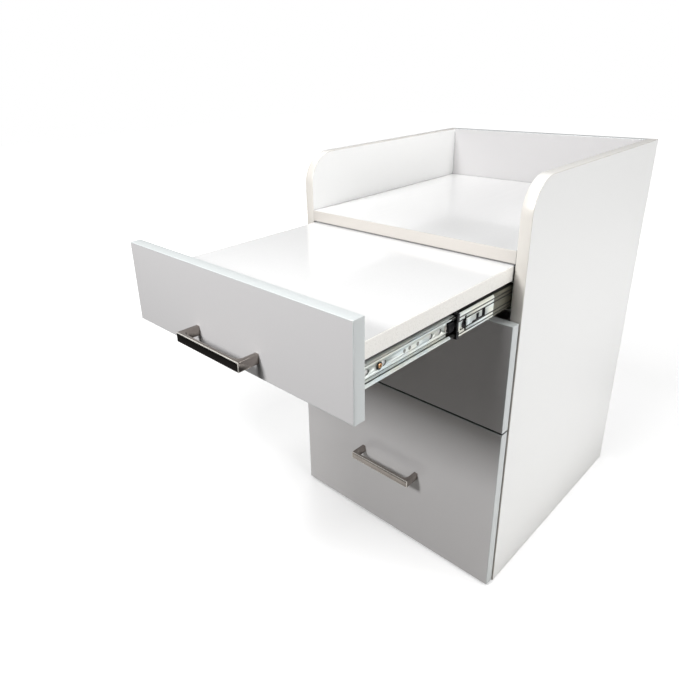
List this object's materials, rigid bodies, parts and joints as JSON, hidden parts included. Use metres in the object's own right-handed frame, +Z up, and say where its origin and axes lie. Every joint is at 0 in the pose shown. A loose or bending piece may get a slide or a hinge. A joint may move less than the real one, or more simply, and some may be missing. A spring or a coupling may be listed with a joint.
{
  "type": "manicure table",
  "caption": "Compact white and grey manicure cabinet with raised side guards, a gloss worktop, a pull-out work table on ball-bearing slides, and deep bow-handled drawers below.",
  "frame": {"origin": "centre of the cabinet's underside, on the floor", "axes": "+Z up; +Y from the drawer fronts towards the back panel; +X to the right of a person facing the fronts; the table is drawn out towards -Y in the rest pose"},
  "size_m": [0.4, 0.7961, 0.643],
  "materials": {
    "white_board": "white melamine on chipboard, satin",
    "white_gloss": "white laminate on chipboard, high gloss",
    "grey_board": "light grey melamine on chipboard, satin",
    "box_board": "white melamine on chipboard, matt",
    "hardboard": "white-faced hardboard",
    "dark_nickel": "dark nickel plating on die-cast metal, polished",
    "zinc_steel": "bright bluish zinc plating",
    "yellow_zinc_screw": "yellow-passivated zinc",
    "black_plastic": "black moulded plastic"
  },
  "bodies": {
    "cabinet": {"left_side_panel": "white_board", "right_side_panel": "white_board", "worktop": "white_gloss", "bottom_panel": "white_board", "back_panel": "grey_board", "table_slide_outer_left": "zinc_steel", "table_slide_outer_right": "zinc_steel", "middle_drawer_slide_outer_left": "zinc_steel", "middle_drawer_slide_outer_right": "zinc_steel", "bottom_drawer_slide_outer_left": "zinc_steel", "bottom_drawer_slide_outer_right": "zinc_steel"},
    "table": {"table_front": "grey_board", "table_top": "white_gloss", "table_rail_left": "box_board", "table_rail_right": "box_board", "table_slide_screw_left": "yellow_zinc_screw", "table_slide_screw_right": "yellow_zinc_screw", "table_handle": "dark_nickel", "table_handle_screw_left": "zinc_steel", "table_handle_screw_right": "zinc_steel", "table_slide_inner_left": "zinc_steel", "table_slide_inner_right": "zinc_steel"},
    "table_middle_member_left": {"table_slide_middle_left": "zinc_steel", "table_slide_guard_left": "black_plastic"},
    "table_middle_member_right": {"table_slide_middle_right": "zinc_steel", "table_slide_guard_right": "black_plastic"},
    "table_lever_left": {"table_release_lever_left": "black_plastic"},
    "table_lever_right": {"table_release_lever_right": "black_plastic"},
    "middle_drawer": {"middle_drawer_front": "grey_board", "middle_drawer_box_left": "box_board", "middle_drawer_box_right": "box_board", "middle_drawer_box_front": "box_board", "middle_drawer_box_back": "box_board", "middle_drawer_box_bottom": "hardboard", "middle_drawer_handle": "dark_nickel", "middle_drawer_handle_screw_left": "zinc_steel", "middle_drawer_handle_screw_right": "zinc_steel", "middle_drawer_slide_inner_left": "zinc_steel", "middle_drawer_slide_inner_right": "zinc_steel"},
    "middle_drawer_middle_member_left": {"middle_drawer_slide_middle_left": "zinc_steel"},
    "middle_drawer_middle_member_right": {"middle_drawer_slide_middle_right": "zinc_steel"},
    "middle_drawer_lever_left": {"middle_drawer_release_lever_left": "black_plastic"},
    "middle_drawer_lever_right": {"middle_drawer_release_lever_right": "black_plastic"},
    "bottom_drawer": {"bottom_drawer_front": "grey_board", "bottom_drawer_box_left": "box_board", "bottom_drawer_box_right": "box_board", "bottom_drawer_box_front": "box_board", "bottom_drawer_box_back": "box_board", "bottom_drawer_box_bottom": "hardboard", "bottom_drawer_handle": "dark_nickel", "bottom_drawer_handle_screw_left": "zinc_steel", "bottom_drawer_handle_screw_right": "zinc_steel", "bottom_drawer_slide_inner_left": "zinc_steel", "bottom_drawer_slide_inner_right": "zinc_steel"},
    "bottom_drawer_middle_member_left": {"bottom_drawer_slide_middle_left": "zinc_steel"},
    "bottom_drawer_middle_member_right": {"bottom_drawer_slide_middle_right": "zinc_steel"},
    "bottom_drawer_lever_left": {"bottom_drawer_release_lever_left": "black_plastic"},
    "bottom_drawer_lever_right": {"bottom_drawer_release_lever_right": "black_plastic"}
  },
  "joints": [
    {"name": "table_slide", "type": "slide", "parent": "cabinet", "child": "table", "axis": [0, -1, 0], "range_m": [-0.311, 0.085]},
    {"name": "table_middle_left_slide", "type": "slide", "parent": "cabinet", "child": "table_middle_member_left", "axis": [0, -1, 0], "range_m": [-0.156, 0.043]},
    {"name": "table_middle_right_slide", "type": "slide", "parent": "cabinet", "child": "table_middle_member_right", "axis": [0, -1, 0], "range_m": [-0.156, 0.043]},
    {"name": "table_lever_left_press", "type": "hinge", "parent": "table", "child": "table_lever_left", "pos_m": [-0.175, -0.334, 0.487], "axis": [-1, 0, 0], "range_deg": [0, 8]},
    {"name": "table_lever_right_press", "type": "hinge", "parent": "table", "child": "table_lever_right", "pos_m": [0.175, -0.334, 0.487], "axis": [1, 0, 0], "range_deg": [0, 8]},
    {"name": "middle_drawer_slide", "type": "slide", "parent": "cabinet", "child": "middle_drawer", "axis": [0, -1, 0], "range_m": [0, 0.396]},
    {"name": "middle_drawer_middle_left_slide", "type": "slide", "parent": "cabinet", "child": "middle_drawer_middle_member_left", "axis": [0, -1, 0], "range_m": [0, 0.1985]},
    {"name": "middle_drawer_middle_right_slide", "type": "slide", "parent": "cabinet", "child": "middle_drawer_middle_member_right", "axis": [0, -1, 0], "range_m": [0, 0.1985]},
    {"name": "middle_drawer_lever_left_press", "type": "hinge", "parent": "middle_drawer", "child": "middle_drawer_lever_left", "pos_m": [-0.175, -0.023, 0.345], "axis": [-1, 0, 0], "range_deg": [0, 8]},
    {"name": "middle_drawer_lever_right_press", "type": "hinge", "parent": "middle_drawer", "child": "middle_drawer_lever_right", "pos_m": [0.175, -0.023, 0.345], "axis": [1, 0, 0], "range_deg": [0, 8]},
    {"name": "bottom_drawer_slide", "type": "slide", "parent": "cabinet", "child": "bottom_drawer", "axis": [0, -1, 0], "range_m": [0, 0.396]},
    {"name": "bottom_drawer_middle_left_slide", "type": "slide", "parent": "cabinet", "child": "bottom_drawer_middle_member_left", "axis": [0, -1, 0], "range_m": [0, 0.1985]},
    {"name": "bottom_drawer_middle_right_slide", "type": "slide", "parent": "cabinet", "child": "bottom_drawer_middle_member_right", "axis": [0, -1, 0], "range_m": [0, 0.1985]},
    {"name": "bottom_drawer_lever_left_press", "type": "hinge", "parent": "bottom_drawer", "child": "bottom_drawer_lever_left", "pos_m": [-0.175, -0.023, 0.075], "axis": [-1, 0, 0], "range_deg": [0, 8]},
    {"name": "bottom_drawer_lever_right_press", "type": "hinge", "parent": "bottom_drawer", "child": "bottom_drawer_lever_right", "pos_m": [0.175, -0.023, 0.075], "axis": [1, 0, 0], "range_deg": [0, 8]}
  ],
  "couplings": [
    {"joint": "table_middle_left_slide", "follows": "table_slide", "ratio": 0.5},
    {"joint": "table_middle_right_slide", "follows": "table_slide", "ratio": 0.5},
    {"joint": "middle_drawer_middle_left_slide", "follows": "middle_drawer_slide", "ratio": 0.5},
    {"joint": "middle_drawer_middle_right_slide", "follows": "middle_drawer_slide", "ratio": 0.5},
    {"joint": "bottom_drawer_middle_left_slide", "follows": "bottom_drawer_slide", "ratio": 0.5},
    {"joint": "bottom_drawer_middle_right_slide", "follows": "bottom_drawer_slide", "ratio": 0.5}
  ]
}
